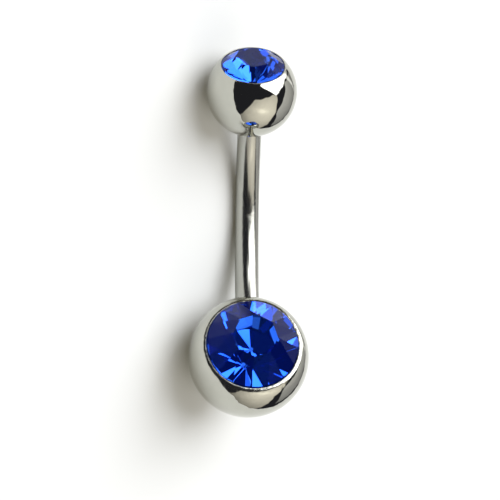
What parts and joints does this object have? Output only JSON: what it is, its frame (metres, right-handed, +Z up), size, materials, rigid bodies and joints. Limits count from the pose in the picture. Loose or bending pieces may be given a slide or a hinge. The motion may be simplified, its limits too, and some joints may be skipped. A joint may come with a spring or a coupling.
{
  "type": "navel ring",
  "caption": "Curved barbell navel ring: a bent steel bar between two jewelled balls, the smaller of which screws off so that the bar can pass through a piercing.",
  "frame": {"origin": "on the floor, under the middle of the ring's box; the ring lies as it rests by itself, on both balls and on the middle of the bar", "axes": "+X along the ring towards the larger ball, +Z up, and the stones lean up and towards -Y"},
  "size_m": [0.0244, 0.008, 0.008],
  "materials": {
    "polished_steel": "mirror-polished surgical steel",
    "blue_stone": "faceted sapphire-blue glass with a mirrored back"
  },
  "bodies": {
    "bar": {"curved_bar": "polished_steel", "lower_ball": "polished_steel", "lower_stone": "blue_stone"},
    "screw_ball": {"upper_ball": "polished_steel", "upper_stone": "blue_stone"}
  },
  "joints": [
    {"name": "ball_off", "type": "slide", "parent": "bar", "child": "screw_ball", "axis": [-0.8358, -0.3983, 0.3778], "range_m": [0, 0.0033]}
  ]
}
